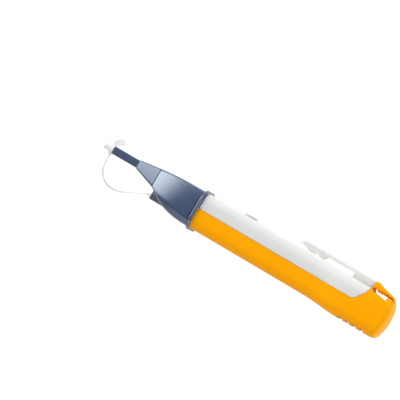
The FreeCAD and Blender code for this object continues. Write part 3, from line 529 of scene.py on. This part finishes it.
def chip_case(name, node):
    """A black package with tinned leads and a moulded dimple at one corner."""
    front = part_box(node)[1][0]
    middle = middle_of(node, (2,))[0]
    finish = Finish.of_material(name)
    place = finish.place()
    lead = finish.ramp(abs(finish.along(place, "Z") - middle), off=CHIP_HALF, full=CHIP_HALF + TIN_BLUR)
    from_dimple = finish.away(place, "XZ", (front - CHIP_DIMPLE_BACK, middle - CHIP_DIMPLE_ASIDE))
    dimple = finish.ramp(from_dimple, off=CHIP_DIMPLE_RADIUS, full=CHIP_DIMPLE_FLOOR)
    grain = finish.noise(place, size=0.08 * MM, detail=3.0)
    case = finish.mix(grain, rgba(34, 35, 37), rgba(46, 47, 49))
    relief = grain * 0.1 - dimple
    return finish.shade(
        Base_Color=finish.mix(lead, case, rgba(208, 208, 204)),
        Metallic=lead,
        Roughness=0.5 - 0.22 * lead + 0.1 * grain - 0.2 * dimple,
        Normal=finish.bump(relief, depth=0.06 * MM, normal=finish.soft_edge(radius=0.06 * MM)),
    )


def switch_case(name, node):
    """A black switch with a steel face that four moulded pegs hold."""
    middle = middle_of(node, (0, 2))
    finish = Finish.of_material(name)
    place = finish.place()
    face = finish.ramp(-1 * finish.along(finish.turned(), "Y"), off=0.5, full=0.8)
    offsets = [abs(finish.along(place, axis) - centre) - SWITCH_PEG for axis, centre in zip("XZ", middle)]
    from_peg = (offsets[0] * offsets[0] + offsets[1] * offsets[1]) ** 0.5
    peg = finish.ramp(from_peg, off=SWITCH_PEG_RADIUS, full=SWITCH_PEG_LEVEL)
    steel = face * (1 - peg)
    lines = finish.streaks(place, size=0.06 * MM, stretch=15)
    relief = peg + lines * 0.05
    return finish.shade(
        Base_Color=finish.mix(steel, rgba(30, 30, 32), rgba(190, 190, 188)),
        Metallic=steel,
        Roughness=0.5 - 0.2 * steel + 0.15 * lines,
        Normal=finish.bump(relief, depth=0.08 * MM, normal=finish.soft_edge(radius=0.08 * MM)),
    )


def buzzer_case(name, node):
    """A black can whose face has low rings round its sound hole."""
    finish = Finish.of_material(name)
    place = finish.place()
    radius = finish.away(place, "XZ", middle_of(node, (0, 2)))
    ring = finish.ramp(abs((radius / BUZZER_RING) % 1.0 - 0.5), off=0.3, full=0.2)
    grain = finish.noise(place, size=0.12 * MM, detail=3.0)
    relief = ring + grain * 0.08
    return finish.shade(
        Base_Color=finish.mix(ring * 0.5, rgba(24, 24, 26), rgba(44, 44, 46)),
        Roughness=0.42 + 0.12 * grain - 0.08 * ring,
        Normal=finish.bump(relief, depth=0.06 * MM, normal=finish.soft_edge(radius=0.15 * MM)),
    )


def leaded_resin(name, node, lead_end):
    """Cast clear resin ahead of a place along the tool, and tinned leads behind it."""
    finish = Finish.of_material(name)
    place = finish.place()
    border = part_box(node)[0][0] + lead_end
    lead = finish.ramp(finish.along(place, "X"), off=border, full=border - TIN_BLUR)
    swirl = finish.noise(place, size=0.8 * MM)
    cast = finish.mix(swirl, rgba(120, 132, 128), rgba(98, 112, 110))
    return finish.shade(
        Base_Color=finish.mix(lead, cast, rgba(205, 205, 201)),
        Metallic=lead,
        Roughness=0.12 + 0.15 * lead + 0.08 * swirl,
        Normal=finish.bump(swirl, depth=0.01 * MM, normal=finish.soft_edge(radius=0.06 * MM)),
        Coat_Weight=0.4,
    )


def chip_part_finish(name):
    """Small ceramic parts with tinned ends, told apart by the pieces' own attribute."""
    finish = Finish.of_material(name)
    place = finish.place()
    tin = finish.add("ShaderNodeAttribute", {"attribute_name": TIN_END}, None, "Fac")
    fire = finish.noise(place, size=0.2 * MM)
    tone = finish.ramp(finish.noise(place, size=2.5 * MM, detail=0.0), off=0.45, full=0.55)
    ceramic = finish.mix(tone, rgba(176, 142, 100), rgba(40, 40, 44))
    return finish.shade(
        Base_Color=finish.mix(tin, ceramic, rgba(204, 204, 200)),
        Metallic=tin,
        Roughness=0.35 + 0.15 * fire,
        Normal=finish.bump(fire, depth=0.01 * MM, normal=finish.soft_edge(radius=0.06 * MM)),
    )


def floor_paper():
    """A pale table lit softly from below."""
    finish = Finish.of_material("floor_paper")
    tooth = finish.noise(finish.place(), FLOOR_TOOTH, detail=3.0)
    return finish.shade(
        Base_Color=finish.mix(tooth, FLOOR_TONE, FLOOR_TOOTH_TONE),
        Roughness=0.9,
        Specular_IOR_Level=0.1,
        Emission_Color=WHITE,
        Emission_Strength=FLOOR_LIGHT,
    )


def studio_sky():
    """Dim all round and dimmest at the horizon, with soft glows."""
    finish = Finish(bpy.data.worlds.new("studio"))
    way = finish.add("ShaderNodeTexCoord", output="Generated")
    height = finish.along(way, "Z")
    light = finish.mix(1 - height * height, SKY_OVERHEAD, SKY_HORIZON)
    for *angles, radiance in SKY_GLOWS:
        turn, rise, fade, end = (math.radians(angle) for angle in angles)
        middle = (math.cos(turn) * math.cos(rise), math.sin(turn) * math.cos(rise), math.sin(rise))
        near = finish.ramp(finish.dot(way, middle), off=math.cos(end), full=math.cos(fade))
        light = finish.mix(near, light, (radiance, radiance, radiance, 1.0), "ADD")
    return finish.close("ShaderNodeOutputWorld", finish.add("ShaderNodeBackground", None, {"Color": light}))


def solid_finishes():
    """The finish of each solid but the tether, by the name of its node."""
    # The orange and white plastics carry painted shade in their grooves and a painted glow in their deep
    # gaps.
    orange = moulded("orange_moulded", rgba(228, 150, 0), rgba(234, 163, 28), 0.42, specular=0.04,
                     crown=0.9 * MM, groove_shade=rgba(150, 82, 10), painted_glow=(0.36, 0.055, 0.0, 1.0))
    white = moulded("white_moulded", rgba(199, 200, 198), rgba(208, 209, 207), 0.42, spread=0.02,
                    specular=0.2, curve=Finish.rounded, groove_shade=rgba(197, 197, 194), seep=0.7,
                    painted_glow=(0.3, 0.3, 0.28, 1.0))
    slate_look = {"colour": rgba(44, 61, 92), "worn": rgba(96, 112, 138), "roughness": 0.16, "index": 1.64,
                  "sheen": (0.84, 0.92, 1.0, 1.0), "crown": 1.2 * MM}
    slate = moulded("slate_moulded", specular=0.76, **slate_look)
    nose_slate = moulded("nose_moulded", specular=1.0, curve=Finish.rolled, **slate_look)
    navy = moulded("navy_moulded", rgba(47, 64, 88), rgba(92, 104, 124), 0.42, specular=0.4)
    button = moulded("button_rubber", rgba(165, 177, 173), rgba(182, 190, 187), 0.55)
    black = moulded("black_moulded", rgba(26, 26, 28), rgba(70, 70, 72), 0.4)
    resin = clear_plastic("lamp_resin", rgba(232, 236, 214), roughness=0.12, cloudy=0.7)
    cloudy = clear_plastic("cloudy_moulded", rgba(228, 229, 230), roughness=0.3, cloudy=0.75)
    clear = clear_plastic("clear_moulded", rgba(243, 246, 248), roughness=0.05, cloudy=0.0)
    spring = plated("plated_steel", (0.75, 0.74, 0.72, 1.0), roughness=0.22)
    return {
        "lower_shell": orange,
        "top_cover": white,
        "power_button": button,
        "switch_plunger": black,
        "tact_switch": switch_case("switch_case", "tact_switch"),
        "indicator_led": resin,
        "circuit_board": board_mask("board_mask"),
        "buzzer": buzzer_case("buzzer_case", "buzzer"),
        "controller_chip": chip_case("chip_case", "controller_chip"),
        "photodiode": leaded_resin("diode_resin", "photodiode", DIODE_LEADS),
        "battery_front": cell_sleeve("front_cell_sleeve", "battery_front"),
        "battery_rear": cell_sleeve("rear_cell_sleeve", "battery_rear"),
        "front_contact": spring,
        "return_strip": spring,
        "contact_spring": spring,
        "nose_cone": nose_slate,
        "nose_tip": slate,
        "probe_tube": navy,
        "light_guide": clear,
        "tip_adapter": cloudy,
        "tether_plug": cloudy,
    }


def dress(finishes):
    """Gives each solid its finish."""
    for node, material in finishes.items():
        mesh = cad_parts[node].data
        mesh.materials.clear()
        mesh.materials.append(material)


def linked(name, data):
    """A new object with that data, in the scene and at the origin."""
    piece = bpy.data.objects.new(name, data)
    bpy.context.scene.collection.objects.link(piece)
    return piece


def mesh_of(piece):
    """The mesh that a piece shows, modifiers and bevel included."""
    graph = bpy.context.evaluated_depsgraph_get()
    return bpy.data.meshes.new_from_object(piece.evaluated_get(graph))


def smooth_line(name, points):
    """A smooth open curve with those control points."""
    data = bpy.data.curves.new(name, "CURVE")
    data.dimensions = "3D"
    data.resolution_u = 12
    spline = data.splines.new("NURBS")
    spline.points.add(len(points) - 1)
    for control, place in zip(spline.points, points):
        control.co = (*place, 1.0)
    spline.order_u = 3
    spline.use_endpoint_u = True
    return linked(name, data)


def make_tether(material):
    """The clear strap between the lug and the adapter."""
    line = smooth_line("tether_line", TETHER_ROUTE)
    path = [vertex.co.copy() for vertex in mesh_of(line).vertices]
    line.data.bevel_depth = TETHER_DIAMETER / 2
    line.data.bevel_resolution = 4
    line.data.use_fill_caps = True
    skin = mesh_of(line)
    bpy.data.objects.remove(line)
    skin.materials.clear()
    skin.materials.append(material)
    for face in skin.polygons:
        face.use_smooth = True
    strap = linked("tether_strap", skin)
    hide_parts("tether")
    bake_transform(strap)


def small_parts_tree(material):
    """Geometry nodes that set a small part, with tinned ends, on each point of a mesh."""
    tree = bpy.data.node_groups.new("small_parts", "GeometryNodeTree")
    tree.interface.new_socket("Geometry", in_out="INPUT", socket_type="NodeSocketGeometry")
    for name in SMALL_PART_SIZES:
        tree.interface.new_socket(name, in_out="INPUT", socket_type="NodeSocketFloat")
    tree.interface.new_socket("Seed", in_out="INPUT", socket_type="NodeSocketInt")
    tree.interface.new_socket("Geometry", in_out="OUTPUT", socket_type="NodeSocketGeometry")

    def node(kind, settings=None, sockets=None):
        return add_node(tree, kind, settings, sockets).outputs

    given = node("NodeGroupInput")
    size = node("ShaderNodeCombineXYZ", None, {0: given["Length"], 1: given["Height"], 2: given["Width"]})
    block = node("GeometryNodeMeshCube", None, {"Size": size[0], "Vertices X": 4})
    along = node("ShaderNodeSeparateXYZ", None, {0: node("GeometryNodeInputPosition")[0]})
    reach = node("ShaderNodeMath", {"operation": "ABSOLUTE"}, {0: along[0]})
    limit = node("ShaderNodeMath", {"operation": "MULTIPLY"}, {0: given["Length"], 1: TIN_START})
    end = node("ShaderNodeMath", {"operation": "GREATER_THAN"}, {0: reach[0], 1: limit[0]})
    marked = node("GeometryNodeStoreNamedAttribute", {"data_type": "FLOAT", "domain": "FACE"},
                  {"Geometry": block["Mesh"], "Name": TIN_END, "Value": end[0]})
    quarter = node("FunctionNodeRandomValue", {"data_type": "INT"},
                   {"Seed": given["Seed"], RANDOM_LOWEST: 0, RANDOM_HIGHEST: 1})
    angle = node("ShaderNodeMath", {"operation": "MULTIPLY"}, {0: quarter[RANDOM_RESULT], 1: math.pi / 2})
    turn = node("ShaderNodeCombineXYZ", None, {1: angle[0]})
    parts = node("GeometryNodeInstanceOnPoints", None,
                 {"Points": given["Geometry"], "Instance": marked["Geometry"], "Rotation": turn[0]})
    real = node("GeometryNodeRealizeInstances", None, {0: parts[0]})
    dressed = node("GeometryNodeSetMaterial", None, {"Geometry": real[0], "Material": material})
    node("NodeGroupOutput", None, {0: dressed[0]})
    return tree


def make_small_parts(material):
    """Small soldered parts on the board's face, where it is free."""
    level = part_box("circuit_board")[0][1] - SMALL_PART_SIZES["Height"] / 2
    middle = middle_of("circuit_board", (2,))[0]
    data = bpy.data.meshes.new("small_part_places")
    data.from_pydata([(x * MM, level, middle + z * MM) for x, z in SMALL_PART_PLACES], [], [])
    places = linked("small_part_places", data)
    modifier = places.modifiers.new("parts", "NODES")
    modifier.node_group = small_parts_tree(material)
    given = {**SMALL_PART_SIZES, "Seed": SMALL_PART_SEED}
    for socket in modifier.node_group.interface.items_tree:
        if socket.name in given:
            modifier[socket.identifier] = given[socket.name]
    mesh = mesh_of(places)
    bpy.data.objects.remove(places)
    parts = linked("small_parts", mesh)
    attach(parts, "body")


def make_floor(material):
    """A wide sheet just below the tool."""
    ways = ((-1, -1), (1, -1), (1, 1), (-1, 1))
    corners = [(x * FLOOR_HALF, y * FLOOR_HALF, -FLOOR_DROP) for x, y in ways]
    data = bpy.data.meshes.new("floor")
    data.from_pydata(corners, [], [(0, 1, 2, 3)])
    data.materials.append(material)
    floor = linked("floor", data)


def make_light():
    """The sky gives all the light apart from the floor's own, and colours are shown without a film curve."""
    bpy.context.scene.world = studio_sky()
    bpy.context.scene.view_settings.view_transform = "Standard"


def make_camera():
    """A long lens that looks down on the tool, with the button side up before the roll."""
    data = bpy.data.cameras.new("camera")
    data.sensor_width = SENSOR_WIDTH
    data.lens = SENSOR_WIDTH * VIEW_DISTANCE / VIEW_WIDTH
    rearward = Vector((-math.cos(VIEW_BEHIND), 0.0, -math.sin(VIEW_BEHIND)))
    button_side = Vector((0.0, -1.0, 0.0))
    back = rearward.cross(button_side)
    right = rearward * math.cos(VIEW_ROLL) + button_side * math.sin(VIEW_ROLL)
    up = button_side * math.cos(VIEW_ROLL) - rearward * math.sin(VIEW_ROLL)
    turn = Matrix((right, up, back)).transposed()
    camera = linked("camera", data)
    camera.matrix_world = Matrix.Translation(VIEW_CENTRE + back * VIEW_DISTANCE) @ turn.to_4x4()
    bpy.context.scene.camera = camera


def main():
    dress(solid_finishes())
    make_tether(clear_plastic("strap_moulded", rgba(223, 223, 222), roughness=0.35, cloudy=0.9))
    make_small_parts(chip_part_finish("small_part_ceramic"))
    make_floor(floor_paper())
    make_light()
    make_camera()


main()
